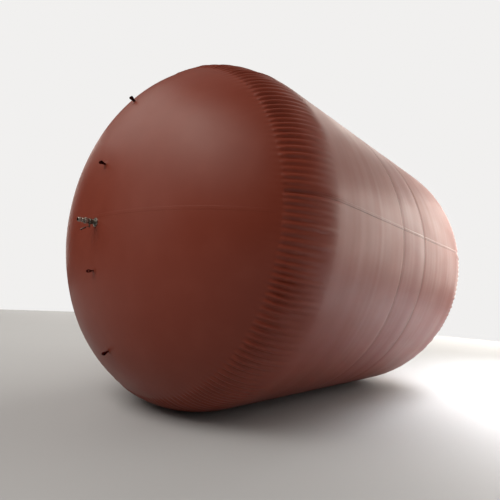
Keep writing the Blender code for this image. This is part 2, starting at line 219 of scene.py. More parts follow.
def profile_table():
    """Arc length, x, radius and outward normal along the bag's profile, pole to pole."""
    turn = np.linspace(0.0, pi / 2, 1201)
    fabric = np.sin(turn) ** 2 / np.sqrt(1 + np.sin(turn) ** 2)
    fabric /= running_sum(fabric, turn)[-1]
    along_x = DOME * ((1 - DOME_ROUNDNESS) * fabric + DOME_ROUNDNESS * np.sin(turn))
    along_r = RADIUS * np.cos(turn)
    speed = np.hypot(along_x, along_r)
    length = running_sum(speed, turn)
    near = np.stack([length, running_sum(along_x, turn) - POLE, RADIUS * np.sin(turn),
                     -along_r / speed, along_x / speed])
    far = near[:, ::-1] * np.array([[-1], [-1], [1], [-1], [1]])
    far[0] += 2 * length[-1] + BARREL
    return np.concatenate([near, far], axis=1)


PROFILE = profile_table()
PROFILE_LENGTH = PROFILE[0, -1]
DOME_ENTRIES = PROFILE.shape[1] // 2


def arc_at_radius(radius):
    """Arc length from the near pole to a radius on the near dome."""
    return np.interp(radius, PROFILE[2, :DOME_ENTRIES], PROFILE[0, :DOME_ENTRIES])


def arc_at_x(x):
    return np.interp(x, PROFILE[1], PROFILE[0])


CAP_SEAM = arc_at_radius(CAP_SEAM_RADIUS)
HOOP_SEAMS = [arc_at_x(FRONT_HOOP_SEAM), arc_at_x(REAR_HOOP_SEAM)]


def turning_noise(angle, seed, highest):
    """Smooth random curve round the bag, about one high."""
    rng = np.random.default_rng(seed)
    total = np.zeros_like(angle)
    for count in range(1, highest + 1):
        total += np.sin(count * angle + 2 * pi * rng.random()) * rng.uniform(0.6, 1.0)
    return total / sqrt(highest)


def gathers(beyond, angle, seed):
    """Height of the pleats, at a distance from the cap seam towards the barrel."""
    rng = np.random.default_rng(seed)
    strength = rng.uniform(0.72, 1.12, PLEATS)
    reach = PLEAT_REACH * rng.uniform(0.72, 1.12, PLEATS)
    phase = PLEATS * angle / (2 * pi) + 0.45 * turning_noise(angle, seed + 1, 17)
    phase = phase + 0.12 * beyond * turning_noise(angle, seed + 2, 11)
    pleat = np.floor(phase).astype(int) % PLEATS
    ridge = np.abs(np.sin(pi * phase)) ** PLEAT_SHARPNESS

    elevation = np.degrees(np.arcsin(np.clip(np.sin(angle), -1.0, 1.0)))
    height = PLEAT_HEIGHT * strength[pleat] * np.interp(elevation, PLEAT_ELEVATIONS, PLEAT_STRENGTHS)
    share = np.clip(beyond / reach[pleat], 0.0, 1.0)
    fall = (1 - share) ** 2 * (1 + 2 * share)
    rise = 1 - np.exp(-np.maximum(beyond, 0.0) / PLEAT_RISE)
    body = height * ridge * fall * (CAP_RIPPLE + (1 - CAP_RIPPLE) * rise)
    pinch = PINCH_DEPTH * height / PLEAT_HEIGHT * (1 - ridge) * rise * np.exp(-beyond / (2 * PLEAT_RISE))
    cap_side = height * ridge * CAP_RIPPLE * np.exp(np.minimum(beyond, 0.0) / CAP_RIPPLE_REACH)
    return np.where(beyond > 0, body - pinch, cap_side)


def side_fold(beyond, angle, seam_angle):
    """Valley along a side seam with a small ridge below it, fading out along the hoop."""
    across = (np.mod(angle - seam_angle + pi, 2 * pi) - pi) * RADIUS
    share = np.clip(beyond / SIDE_FOLD_REACH, 0.0, 1.0)
    fade = np.where(beyond > 0, (1 - np.exp(-beyond / PLEAT_RISE)) * (1 - share) ** 2 * (1 + 2 * share), 0.0)
    valley = SIDE_FOLD_DEPTH * np.exp(-(across / SIDE_FOLD_WIDTH) ** 2)
    ridge = SIDE_FOLD_RIDGE * np.exp(-((across + 2.2 * SIDE_FOLD_WIDTH) / SIDE_FOLD_WIDTH) ** 2)
    return fade * (ridge - valley)


def streaks(arc, angle):
    """Shallow hoop-wise waves of the barrel's fabric, which change slowly round the bag."""
    rng = np.random.default_rng(41)
    total = np.zeros(np.broadcast(arc, angle).shape)
    lengths = np.geomspace(0.9, 0.14, 14)
    for length in lengths:
        turns = rng.integers(1, 5)
        swell = np.sin(turns * angle + 2 * pi * rng.random())
        drift = 0.6 * np.sin(rng.integers(1, 4) * angle + 2 * pi * rng.random())
        wave = np.sin(2 * pi * (arc / length + rng.random()) + drift)
        total += wave * (0.55 + 0.45 * swell) * length / (2 * pi) * STREAK_SLOPE
    return total / sqrt(len(lengths) / 2)


def sags(arc, angle):
    """Broad unevenness of the caps."""
    rng = np.random.default_rng(7)
    radius = np.interp(arc, PROFILE[0], PROFILE[2])
    across = radius * np.cos(angle)
    up = radius * np.sin(angle)
    total = np.zeros(np.broadcast(arc, angle).shape)
    for length in np.geomspace(2.6, 0.7, 9):
        heading = 2 * pi * rng.random()
        run = across * cos(heading) + up * sin(heading)
        total += np.sin(2 * pi * (run / length + rng.random())) * length / (2 * pi) * SAG_SLOPE
    return total / sqrt(4.5)


def window(value, low, high, soft):
    """One between low and high, easing to nothing over soft outside them."""
    below = np.clip((value - low) / soft + 1, 0.0, 1.0)
    above = np.clip((high - value) / soft + 1, 0.0, 1.0)
    share = np.minimum(below, above)
    return share * share * (3 - 2 * share)


def port_dimple(arc, angle):
    """Membrane pulled flat under the flange, with short creases that run out from it."""
    x, radius = (np.interp(arc, PROFILE[0], PROFILE[row]) for row in (1, 2))
    across = -radius * np.cos(angle)
    up = radius * np.sin(angle) + PORT_DROP
    away = np.hypot(across, up)
    flat = (x + POLE) * window(away, -1.0, PORT_SEAT, PORT_SEAT_EASE)
    bearing = np.arctan2(up, across)
    width = PORT_CREASE_WIDTH + PORT_CREASE_SPREAD * away
    creases = 0.0
    for heading, reach, depth in PORT_CREASES:
        sideways = np.mod(bearing - heading + pi, 2 * pi) - pi
        run = np.clip((away - PORT_CREASE_START) / reach, 0.0, 1.0)
        shape = np.sin(pi * run) ** 0.7 * (1 - run)
        creases = creases - depth * shape * np.exp(-(sideways * away / width) ** 2)
    return np.where(x < -POLE + PORT_AREA_DEPTH, flat + creases, 0.0)


def displacement(arc, angle):
    """How far the fabric stands out from the smooth envelope."""
    near = arc - CAP_SEAM
    far = PROFILE_LENGTH - CAP_SEAM - arc
    total = np.zeros(np.broadcast(arc, angle).shape)
    for beyond, seed in ((near, 11), (far, 23)):
        total = total + gathers(beyond, angle, seed)
        total = total + side_fold(beyond, angle, HOOP_TURN)
        total = total + side_fold(beyond, angle, HOOP_TURN + pi)
    for seam in HOOP_SEAMS:
        total = total - HOOP_GROOVE_DEPTH * np.exp(-np.abs(arc - seam) / HOOP_GROOVE_WIDTH)
    middle = PROFILE_LENGTH / 2
    total = total + streaks(arc, angle) * window(np.abs(arc - middle), -1.0, BARREL / 2 - 0.3, 0.8)
    total = total + sags(arc, angle) * window(np.abs(arc - middle), middle - CAP_SEAM + 0.5, 99.0, 0.5)
    return total + port_dimple(arc, angle)


def surface(arc, angle, offset=0.0, smooth=False):
    """Points on the fabric, moved outwards by an offset. Angle 0 is at -Y and rises."""
    arc, angle = np.broadcast_arrays(np.asarray(arc, float), np.asarray(angle, float))
    x, radius, normal_x, normal_r = (np.interp(arc, PROFILE[0], PROFILE[row]) for row in (1, 2, 3, 4))
    stand = offset + (0.0 if smooth else displacement(arc, angle))
    out = radius + stand * normal_r
    height = np.maximum(AXIS_HEIGHT + out * np.sin(angle), np.maximum(0.0, -np.asarray(offset)))
    return np.stack([x + stand * normal_x, -out * np.cos(angle), height], axis=-1)


def spaced(*runs):
    """Places along a line. Each run is its start, its end and its largest step."""
    places = []
    for start, end, step in runs:
        count = max(1, ceil((end - start) / step - 1e-6))
        places.extend(np.linspace(start, end, count, endpoint=False))
    places.append(runs[-1][1])
    return places


def in_scene(name, data):
    """New object from a mesh, light or camera, linked to the scene."""
    made = bpy.data.objects.new(name, data)
    bpy.context.scene.collection.objects.link(made)
    return made


def new_piece(name, mesh, surface_material, body="bag", replaced=None):
    """Object from a mesh, riding on a body and standing for a node of the frame."""
    mesh.materials.append(surface_material)
    piece = in_scene(name, mesh)
    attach(piece, body)
    if replaced is not None:
        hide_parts(replaced)
    return piece


def mesh_from(name, points, faces, sharp_angle=None, uvs=None):
    """Mesh with faces turned outwards, smooth unless an edge is sharper than the angle."""
    mesh = bpy.data.meshes.new(name)
    mesh.from_pydata([tuple(point) for point in points], [], faces)
    if uvs is not None:
        corners = np.zeros(len(mesh.loops), np.int64)
        mesh.loops.foreach_get("vertex_index", corners)
        layer = mesh.uv_layers.new(name="fabric")
        layer.data.foreach_set("uv", np.asarray(uvs, np.float32)[corners].ravel())
    bm = bmesh.new()
    bm.from_mesh(mesh)
    bmesh.ops.recalc_face_normals(bm, faces=bm.faces)
    bm.to_mesh(mesh)
    bm.free()
    mesh.shade_smooth()
    if sharp_angle is not None:
        mesh.set_sharp_from_angle(angle=radians(sharp_angle))
    return mesh


def half_panel_mesh(name, rows, side, turn, planar):
    """Closed shell of half a ring. Rows are (arc length, columns), and columns 0 is a pole."""
    points, uvs, faces, grid = [], [], [], []

    def add_row(arc, columns, offset, smooth):
        first = len(points)
        if columns == 0:
            place = surface(arc, 0.0, offset, smooth)
            place[2] += side * GAP / 2
            points.append(place)
            uvs.append((place[1], place[2]))
            return [first]
        radius = float(np.interp(arc, PROFILE[0], PROFILE[2]))
        trim = GAP / 2 / max(radius, 0.01)
        angles = turn + side * np.linspace(trim, pi - trim, columns + 1)
        row = surface(arc, angles, offset, smooth)
        points.extend(row)
        if planar:
            uvs.extend(zip(row[:, 1], row[:, 2]))
        else:
            uvs.extend((arc, angle * RADIUS) for angle in angles)
        return list(range(first, first + columns + 1))

    for arc, columns in rows:
        grid.append(add_row(arc, columns, 0.0, False))
    for lower, upper in zip(grid[:-1], grid[1:]):
        join_rows(faces, lower, upper)

    picked = sorted(set(range(0, len(rows), INNER_EVERY)) | {len(rows) - 1})
    inner = []
    for i in picked:
        arc = rows[i][0]
        beyond = min(arc, PROFILE_LENGTH - arc) - CAP_SEAM
        depth = MEMBRANE + PLEAT_HEIGHT * float(window(beyond, -0.02, PLEAT_REACH, 0.2))
        inner.append(add_row(arc, INNER_COLUMNS if rows[i][1] else 0, -depth, True))
    for lower, upper in zip(inner[:-1], inner[1:]):
        join_rows(faces, lower, upper)

    for outer_row, inner_row in ((grid[0], inner[0]), (grid[-1], inner[-1])):
        if len(outer_row) > 1:
            join_rows(faces, inner_row, outer_row)
    for edge in (0, -1):
        for k in range(len(picked) - 1):
            run = [grid[i][edge] for i in range(picked[k], picked[k + 1] + 1)]
            faces.append(run + [inner[k + 1][edge], inner[k][edge]])
    return mesh_from(name, points, faces, 60.0, uvs)


def join_rows(faces, lower, upper):
    """Faces between two rows, of which one may have a whole multiple of the other's columns."""
    few, many = (lower, upper) if len(lower) <= len(upper) else (upper, lower)
    if len(few) == 1:
        faces.extend([few[0], many[j], many[j + 1]] for j in range(len(many) - 1))
        return
    multiple = (len(many) - 1) // (len(few) - 1)
    for j in range(len(few) - 1):
        run = many[j * multiple:(j + 1) * multiple + 1]
        faces.append([few[j + 1], few[j], *run])


def cap_rows(pole_step):
    """Rows of a cap from its pole to its seam, finer at the pole, beside creases and at the rim."""
    rows = [(0.0, 0)]
    rows += [(arc, HALF_SEGMENTS) for arc in (0.012, 0.030)]
    rows += [(arc, 2 * HALF_SEGMENTS) for arc in (0.045, 0.060)]
    runs = spaced((0.075, 0.50, pole_step), (0.50, CAP_SEAM - 0.22, 0.045))
    rows += [(arc, COLUMNS_PLAIN) for arc in runs]
    rim = spaced((CAP_SEAM - 0.20, CAP_SEAM - GAP / 2, 0.022))
    return rows + [(arc, COLUMNS_FINE) for arc in rim]


def hoop_rows(start, end):
    """Rows of a hoop panel that begins at the near cap's seam and ends at a hoop seam."""
    gathered = spaced((start + GAP / 2, start + 0.06, 0.009), (start + 0.06, start + 0.88, 0.021))
    plain = spaced((start + 0.91, end - 0.12, 0.030), (end - 0.12, end - GAP / 2, 0.010))
    return [(arc, COLUMNS_FINE) for arc in gathered] + [(arc, COLUMNS_PLAIN) for arc in plain]


def mirrored_rows(rows):
    return [(PROFILE_LENGTH - arc, columns) for arc, columns in reversed(rows)]


def build_membrane(main_roll, middle_roll):
    """Half panels of the bag. The narrow middle hoop comes from a second roll of membrane."""
    front, rear = HOOP_SEAMS
    middle = spaced((front + GAP / 2, front + 0.12, 0.010), (front + 0.12, rear - 0.12, 0.030),
                    (rear - 0.12, rear - GAP / 2, 0.010))
    rear_rows = mirrored_rows(hoop_rows(CAP_SEAM, PROFILE_LENGTH - rear))
    panels = {"near_cap": cap_rows(0.010), "front_hoop": hoop_rows(CAP_SEAM, front),
              "middle_hoop": [(arc, COLUMNS_PLAIN) for arc in middle], "rear_hoop": rear_rows,
              "far_cap": mirrored_rows(cap_rows(0.045))}
    for panel, rows in panels.items():
        capped = "cap" in panel
        for half, side in (("upper", 1), ("lower", -1)):
            node = f"{panel}_{half}"
            mesh = half_panel_mesh(node, rows, side, 0.0 if capped else HOOP_TURN, capped)
            material = middle_roll if panel == "middle_hoop" else main_roll
            piece = new_piece(f"{node}_membrane", mesh, material, replaced=node)
            if node == "near_cap_lower":
                cut_port_hole(piece)


def cut_port_hole(piece):
    """Round hole through the cap's membrane, where the nipple passes."""
    ring = [at_port(0.0, PORT_HOLE * sin(angle), PORT_HOLE * cos(angle))
            for angle in np.linspace(0.0, 2 * pi, ROUND_SEGMENTS, endpoint=False)]
    shift = Vector((HOLE_CUT_REACH, 0.0, 0.0))
    points = [point - shift for point in ring] + [point + shift for point in ring]
    drill_mesh = mesh_from("port_drill", points, band_faces(2, ROUND_SEGMENTS))
    drill = in_scene("port_drill", drill_mesh)
    cut = piece.modifiers.new("port hole", "BOOLEAN")
    cut.operation = "DIFFERENCE"
    cut.solver = "EXACT"
    cut.object = drill
    whole = piece.data
    graph = bpy.context.evaluated_depsgraph_get()
    piece.data = bpy.data.meshes.new_from_object(piece.evaluated_get(graph))
    piece.modifiers.clear()
    bpy.data.objects.remove(drill)
    bpy.data.meshes.remove(drill_mesh)
    bpy.data.meshes.remove(whole)


def band_faces(rings, count):
    """Faces of a closed band: rings of count points each, joined and capped at both ends."""
    faces = []
    for i in range(rings - 1):
        for j in range(count):
            after = (j + 1) % count
            faces.append((i * count + j, i * count + after, (i + 1) * count + after, (i + 1) * count + j))
    faces.append(list(range(count)))
    faces.append(list(range((rings - 1) * count, rings * count)))
    return faces


def strip_mesh(name, place, alongs, section, uv_scale=1.0):
    """Closed band. Place maps (along, across, offset) to points, section is (across, offset)."""
    section = np.array(section)
    alongs = np.array(alongs)
    points = place(alongs[:, None], section[None, :, 0], section[None, :, 1])
    uvs = np.stack(np.broadcast_arrays(alongs[:, None] * uv_scale, section[None, :, 0]), axis=-1)
    faces = band_faces(len(alongs), len(section))
    return mesh_from(name, points.reshape(-1, 3), faces, 50.0, uvs.reshape(-1, 2))


def lap_section(rise):
    """Outline of a lap: flat on top, with eased edges, rooted in the membrane."""
    half = LAP_WIDTH / 2
    eased_edge = [(half, rise * 0.35), (half - LAP_SHOULDER * 0.4, rise * 0.8), (half - LAP_SHOULDER, rise)]
    left = [(-across, offset) for across, offset in eased_edge]
    flat = [(share * half, rise) for share in (-0.5, 0.0, 0.5)]
    return left + flat + eased_edge[::-1] + [(half, LAP_ROOT), (0.0, LAP_ROOT), (-half, LAP_ROOT)]


def build_laps(lapped, plain):
    """Laps round the bag, along its sides and across its caps. The cap seams lie nearly flush."""
    section = lap_section(LAP_RISE)
    flush = lap_section(CAP_LAP_RISE)
    rings = {"near_cap_lap": (CAP_SEAM, 8 * PLEATS, flush, plain),
             "front_hoop_lap": (HOOP_SEAMS[0], 2 * PLEATS, section, lapped),
             "rear_hoop_lap": (HOOP_SEAMS[1], 2 * PLEATS, section, lapped),
             "far_cap_lap": (PROFILE_LENGTH - CAP_SEAM, 8 * PLEATS, flush, plain)}
    for node, (seam, columns, outline, material) in rings.items():
        angles = np.linspace(-LAP_FREE_ANGLE, pi + LAP_FREE_ANGLE, columns)

        def ring_place(angle, across, offset, seam=seam):
            return surface(seam + across, angle, offset)

        mesh = strip_mesh(node, ring_place, angles, outline, RADIUS)
        new_piece(f"{node}_weld", mesh, material, replaced=node)

    clear = LAP_WIDTH / 2 + LAP_END_CLEARANCE
    ends = [CAP_SEAM, *HOOP_SEAMS, PROFILE_LENGTH - CAP_SEAM]
    for side, seam_angle in (("left", HOOP_TURN), ("right", HOOP_TURN + pi)):
        for panel, start, end in zip(("front_hoop", "middle_hoop", "rear_hoop"), ends[:-1], ends[1:]):
            node = f"{panel}_side_lap_{side}"

            def side_place(arc, across, offset, seam_angle=seam_angle):
                return surface(arc, seam_angle - across / RADIUS, offset)

            mesh = strip_mesh(node, side_place, spaced((start + clear, end - clear, 0.012)), section)
            new_piece(f"{node}_weld", mesh, lapped, replaced=node)

    reach = CAP_SEAM - clear
    for cap, far in (("near_cap", False), ("far_cap", True)):
        node = f"{cap}_cross_lap"

        def cross_place(along, across, offset, far=far):
            arc = np.hypot(along, across)
            angle = np.arctan2(-across, along)
            return surface(PROFILE_LENGTH - arc if far else arc, angle, offset)

        mesh = strip_mesh(node, cross_place, spaced((-reach, reach, 0.02)), lap_section(CROSS_LAP_RISE))
        new_piece(f"{node}_weld", mesh, plain, replaced=node)


def frame_at(radius, side, near):
    """Foot, outward normal and tangent of a tab on the upright meridian of a cap."""
    arc = arc_at_radius(radius)
    arc = arc if near else PROFILE_LENGTH - arc
    foot, raised = surface([arc, arc], side * pi / 2, np.array([0.0, 0.01]))
    out = Vector(raised - foot).normalized()
    return Vector(foot), out, Vector((0.0, 1.0, 0.0)).cross(out)


def tab_path():
    """Side view of a webbing loop, as (sideways, outwards): foot, neck, drop-shaped eye, neck, foot."""
    centre = TAB_LENGTH - TAB_STRAP / 2 - TAB_EYE
    base = TAB_STRAP / 2
    lean = np.arcsin((TAB_EYE - TAB_NECK_HALF) / (centre - TAB_NECK))
    eye = [(TAB_EYE * sin(a), centre + TAB_EYE * cos(a))
           for a in np.linspace(-pi / 2 - lean, pi / 2 + lean, 29)]
    leg = [tuple(spot) for spot in np.linspace(eye[-1], (TAB_NECK_HALF, TAB_NECK), 7)[1:]]
    turn = [(TAB_NECK_HALF + TAB_TURN * (1 - cos(a)), base + TAB_TURN * (1 - sin(a)))
            for a in np.linspace(0.0, pi / 2, 9)]
    half = leg + turn + [(TAB_NECK_HALF + TAB_TURN + 0.006, base), (TAB_FOOT, base)]
    return [(-across, out) for across, out in reversed(half)] + eye + half


def unit_tangents(path):
    tangents = np.gradient(path, axis=0)
    return tangents / np.linalg.norm(tangents, axis=1)[:, None]


def run_lengths(path):
    """Distance along a polyline to each of its points."""
    return np.concatenate([[0.0], np.cumsum(np.linalg.norm(np.diff(path, axis=0), axis=1))])


def eased(path, rounds):
    """Path with its corners worn down by averaging, its ends kept."""
    points = np.array(path, float)
    for _ in range(rounds):
        points[1:-1] = (points[:-2] + 2 * points[1:-1] + points[2:]) / 4
    return points


def lining_path(path):
    """Second ply of webbing, laid inside the eye of the loop from neck to neck."""
    inside = path[path[:, 1] > TAB_NECK + TAB_STRAP]
    tangents = unit_tangents(inside)
    return inside + np.stack([tangents[:, 1], -tangents[:, 0]], axis=1) * TAB_STRAP * 1.04


def webbing_mesh(name, path, foot, out, up):
    """Webbing strap with soft edges that follows a side view of the loop."""
    tangents = unit_tangents(path)
    normals = np.stack([-tangents[:, 1], tangents[:, 0]], axis=1)
    half_width = TAB_WIDTH / 2
    half_thick = TAB_STRAP / 2
    edge = [(half_width + half_thick * 0.5 * cos(a), half_thick * sin(a))
            for a in np.linspace(-pi / 2, pi / 2, 7)]
    flats = [(w, half_thick) for w in np.linspace(half_width * 0.7, -half_width * 0.7, 5)]
    section = edge + flats + [(-w, -t) for w, t in edge] + [(-w, -t) for w, t in flats]
    points, uvs = [], []
    for spot, normal, length in zip(path, normals, run_lengths(path)):
        for width, thick in section:
            place = spot + normal * thick
            points.append(foot + up * place[0] + out * place[1] + Vector((0.0, width, 0.0)))
            uvs.append((length, width))
    return mesh_from(name, points, band_faces(len(path), len(section)), 60.0, uvs)


def add_stitch(points, faces, start, end, lift):
    """Thread segment: a short spindle between two points, raised in its middle."""
    run = end - start
    sideways = run.cross(lift).normalized() * STITCH_RADIUS
    above = lift.normalized() * STITCH_RADIUS
    first = len(points)
    for share, size, rise in STITCH_STATIONS:
        spot = start + run * share + above * (rise - 0.5)
        for k in range(STITCH_SIDES):
            angle = 2 * pi * k / STITCH_SIDES
            points.append(spot + (sideways * cos(angle) + above * sin(angle)) * size)
    for face in band_faces(len(STITCH_STATIONS), STITCH_SIDES):
        faces.append([first + corner for corner in face])


def stitching_mesh(name, foot, out, up):
    """Rows of thread across the loop's neck, and through the patch along its two feet."""
    points, faces = [], []
    across = Vector((0.0, 1.0, 0.0))
    neck_face = TAB_STRAP * 1.05 + 0.0001
    foot_face = TAB_PATCH_THICKNESS + TAB_STRAP
    reach = TAB_WIDTH / 2 - STITCH_MARGIN
    places = np.arange(-reach, reach, STITCH_LENGTH + STITCH_PAUSE)
    for face in (-1, 1):
        rows = [(up * face * neck_face + out * height, up * face) for height in NECK_STITCH_HEIGHTS]
        rows += [(up * face * spread + out * foot_face, out) for spread in FOOT_STITCH_REACHES]
        for shift, lift in rows:
            for w in places:
                start = foot + shift + across * w
                add_stitch(points, faces, start, start + across * STITCH_LENGTH, lift)
    return mesh_from(name, points, faces)


PATCH_RINGS = [(reach, 1.0) for reach in np.linspace(0.09, 0.9, 10)]
PATCH_RINGS += [(0.96, 0.97), (0.985, 0.8), (1.0, 0.45), (1.0, -0.8)]
PATCH_SEGMENTS = 96


def patch_mesh(name, radius, side, near):
    """Round membrane patch welded over a tab's feet. Rings are (reach, rise) shares."""
    reach, rise = (np.array([(0.0, 1.0), *PATCH_RINGS])[:, [column]] for column in (0, 1))
    turn = 2 * pi * np.arange(PATCH_SEGMENTS) / PATCH_SEGMENTS
    across = TAB_PATCH_RADIUS * reach * np.cos(turn)
    up = TAB_PATCH_RADIUS * reach * np.sin(turn)
    over_feet = window(np.abs(up), -1.0, TAB_FOOT, 0.008) * window(np.abs(across), -1.0, TAB_WIDTH / 2, 0.010)
    lift = TAB_PATCH_THICKNESS * rise + TAB_STRAP * over_feet * (reach < 0.95)
    arc = arc_at_radius(np.hypot(across, side * radius + up))
    arc = arc if near else PROFILE_LENGTH - arc
    points = surface(arc, np.arctan2(side * radius + up, across), lift).reshape(-1, 3)
    points = points[PATCH_SEGMENTS - 1:]

    faces = []
    for k in range(PATCH_SEGMENTS):
        after = (k + 1) % PATCH_SEGMENTS
        faces.append((0, 1 + k, 1 + after))
        for i in range(len(PATCH_RINGS) - 1):
            here, there = 1 + i * PATCH_SEGMENTS, 1 + (i + 1) * PATCH_SEGMENTS
            faces.append((here + k, here + after, there + after, there + k))
    faces.append(list(range(len(points) - PATCH_SEGMENTS, len(points))))
    return mesh_from(name, points, faces, 60.0, points[:, 1:])


def build_tabs(webbing, thread, membrane):
    for end, near in (("near", True), ("far", False)):
        for place, side in (("upper", 1), ("lower", -1)):
            for ring, radius in TAB_RADII.items():
                node = f"{end}_tab_{place}_{ring}"
                foot, out, up = frame_at(radius, side, near)
                path = eased(tab_path(), 2)
                loop = webbing_mesh(node, path, foot, out, up)
                new_piece(f"{node}_loop", loop, webbing, replaced=node)
                lining = webbing_mesh(f"{node}_ply", lining_path(path), foot, out, up)
                new_piece(f"{node}_lining", lining, webbing)
                stitches = stitching_mesh(f"{node}_thread", foot, out, up)
                new_piece(f"{node}_stitching", stitches, thread)
                patch = patch_mesh(f"{node}_disc", radius, side, near)
                new_piece(f"{node}_patch", patch, membrane)


def at_port(out, across, up):
    """Point at a distance outwards from the near cap, on the port's axis or beside it."""
    return Vector((-POLE - out, across, PORT_HEIGHT + up))


def at_stem(out, across, up):
    """Point beside the valve's upright stem, for shapes turned round it."""
    return at_port(BALL_CENTRE + across, up, out)


def rounded(outline, size, steps=4):
    """Closed outline with each corner turned into a short curve."""
    corners = [Vector(point) for point in outline]
    made = []
    for i, corner in enumerate(corners):
        before, after = corners[i - 1], corners[(i + 1) % len(corners)]
        start = corner + (before - corner) * min(0.45, size / (before - corner).length)
        end = corner + (after - corner) * min(0.45, size / (after - corner).length)
        for k in range(steps + 1):
            t = k / steps
            made.append(tuple(start * (1 - t) ** 2 + corner * 2 * t * (1 - t) + end * t ** 2))
    return made


def flat_distance(across_flats, angle):
    """Distance from a hexagon's axis to its side, in a direction round the axis."""
    return across_flats / 2 / cos((angle + pi / 6) % (pi / 3) - pi / 6)


def hexagon_limit(across_flats, angle):
    """Reach of a hexagon with worn corners, or no limit for a round shape."""
    if across_flats is None:
        return inf
    return min(flat_distance(across_flats, angle), across_flats / sqrt(3) * HEXAGON_WEAR)


def turned_mesh(name, outline, across_flats=None, relief=None, place=at_port, segments=ROUND_SEGMENTS):
    """Closed outline of (distance along, radius) spun round an axis, cut to a hexagon if asked."""
    points, faces = [], []
    for k in range(segments):
        angle = 2 * pi * k / segments
        limit = hexagon_limit(across_flats, angle)
        for along, radius in outline:
            reach = min(radius, limit)
            if relief is not None:
                reach = relief(along, reach, angle)
            points.append(place(along, reach * sin(angle), reach * cos(angle)))
    count = len(outline)
    for k in range(segments):
        here, there = k * count, (k + 1) % segments * count
        for i in range(count):
            after = (i + 1) % count
            faces.append((here + i, here + after, there + after, there + i))
    return mesh_from(name, points, faces, 32.0)


def plug_mesh(name, outline, across_flats=None):
    """Solid shape turned round the stem's axis: the outline starts and ends on the axis."""
    points = [at_stem(outline[0][0], 0.0, 0.0), at_stem(outline[-1][0], 0.0, 0.0)]
    faces, rings = [], []
    for along, radius in outline[1:-1]:
        ring = []
        for k in range(STEM_SEGMENTS):
            angle = 2 * pi * k / STEM_SEGMENTS
            reach = min(radius, hexagon_limit(across_flats, angle))
            ring.append(len(points))
            points.append(at_stem(along, reach * sin(angle), reach * cos(angle)))
        rings.append(ring)
    for k in range(STEM_SEGMENTS):
        after = (k + 1) % STEM_SEGMENTS
        faces.append((0, rings[0][k], rings[0][after]))
        faces.append((1, rings[-1][after], rings[-1][k]))
        for lower, upper in zip(rings[:-1], rings[1:]):
            faces.append((lower[k], upper[k], upper[after], lower[after]))
    return mesh_from(name, points, faces, 32.0)


def fitting(mesh, metal, node, body="bag", weighted=True):
    """Piece named after its mesh. Weighted keeps flat faces flat-looking beside rounded edges."""
    piece = new_piece(mesh.name, mesh, metal, body, node)
    if weighted:
        piece.modifiers.new("face weights", "WEIGHTED_NORMAL").keep_sharp = True


def thread_relief(start, end):
    """Helical thread cut between two distances along the axis."""
    def relief(along, radius, angle):
        if radius < NIPPLE_RADIUS - 0.002 or not start < along < end:
            return radius
        turn = (along / THREAD_PITCH + angle / (2 * pi)) % 1.0
        fade = min(1.0, (along - start) / 0.002, (end - along) / 0.002)
        return radius - THREAD_DEPTH * fade * abs(2 * turn - 1)
    return relief


def build_port(cast, bright):
    """Flange, threaded nipple, ball valve body, union nut, hose tail and gland nut."""
    seat = GAP
    rim = FLANGE_RADIUS
    hole = NIPPLE_RADIUS + GAP
    face = seat + FLANGE_THICKNESS
    flange = rounded([(seat, rim), (face - 0.002, rim), (face, rim - 0.002), (face, rim - 0.014),
                      (face - 0.0012, rim - 0.0155), (face - 0.0012, hole + 0.009),
                      (face, hole + 0.007), (face, hole), (seat, hole)], 0.0012)
    fitting(turned_mesh("port_flange_ring", flange), bright, "port_flange")

    threads = [(along, NIPPLE_RADIUS) for along in np.arange(face - 0.004, VALVE_START, THREAD_PITCH / 6)]
    nipple = [(NIPPLE_INSIDE, NIPPLE_RADIUS - 0.001), (NIPPLE_INSIDE + 0.001, NIPPLE_RADIUS), *threads,
              (VALVE_START, NIPPLE_RADIUS - 0.0005), (VALVE_START, BORE), (NIPPLE_INSIDE, BORE)]
    mesh = turned_mesh("port_nipple_pipe", nipple, relief=thread_relief(face - 0.002, VALVE_START + 0.002))
    fitting(mesh, cast, "port_nipple", weighted=False)
    fitting(valve_body_mesh(), cast, "valve_body")

    start, end = VALVE_END + GAP, UNION_END
    bevel = 0.0035
    flats = UNION_CORNER * sqrt(3)
    union = rounded([(start, flats / 2 - 0.001), (start + bevel, UNION_CORNER), (end - bevel, UNION_CORNER),
                     (end, flats / 2 - 0.001), (end, BARB_NECK + 0.0035), (end - 0.004, BARB_NECK + 0.0015),
                     (end - 0.004, BORE), (start, BORE)], 0.0007)
    fitting(turned_mesh("union_nut_hexagon", union, flats), bright, "union_nut")

    start = UNION_END + GAP
    tail = rounded([(start, BARB_NECK), (0.184, BARB_NECK), (0.1925, BARB_RIDGE), (0.201, BARB_RIDGE),
                    (0.2035, BARB_RIDGE - 0.002), (0.212, BARB_NECK), (0.222, BARB_NECK),
                    (0.2305, BARB_RIDGE), (0.239, BARB_RIDGE), (0.2415, BARB_RIDGE - 0.002),
                    (0.246, BARB_RIDGE - 0.003), (BARB_END - 0.003, BARB_RIDGE - 0.003),
                    (BARB_END, BARB_RIDGE - 0.006), (BARB_END, BARB_BORE + 0.001),
                    (BARB_END - 0.002, BARB_BORE), (start, BARB_BORE)], 0.0012)
    fitting(turned_mesh("hose_tail_barbs", tail), bright, "hose_tail")

    top = -(VALVE_BELLY + GAP)
    low = top - GLAND_DEPTH
    flats = GLAND_CORNER * sqrt(3)
    gland = rounded([(top, flats / 2), (top - 0.0015, GLAND_CORNER), (low + 0.0015, GLAND_CORNER),
                     (low, flats / 2), (low, STEM_HOLE), (top, STEM_HOLE)], 0.0005)
    mesh = turned_mesh("gland_nut_hexagon", gland, flats, place=at_stem, segments=STEM_SEGMENTS)
    fitting(mesh, bright, "gland_nut")


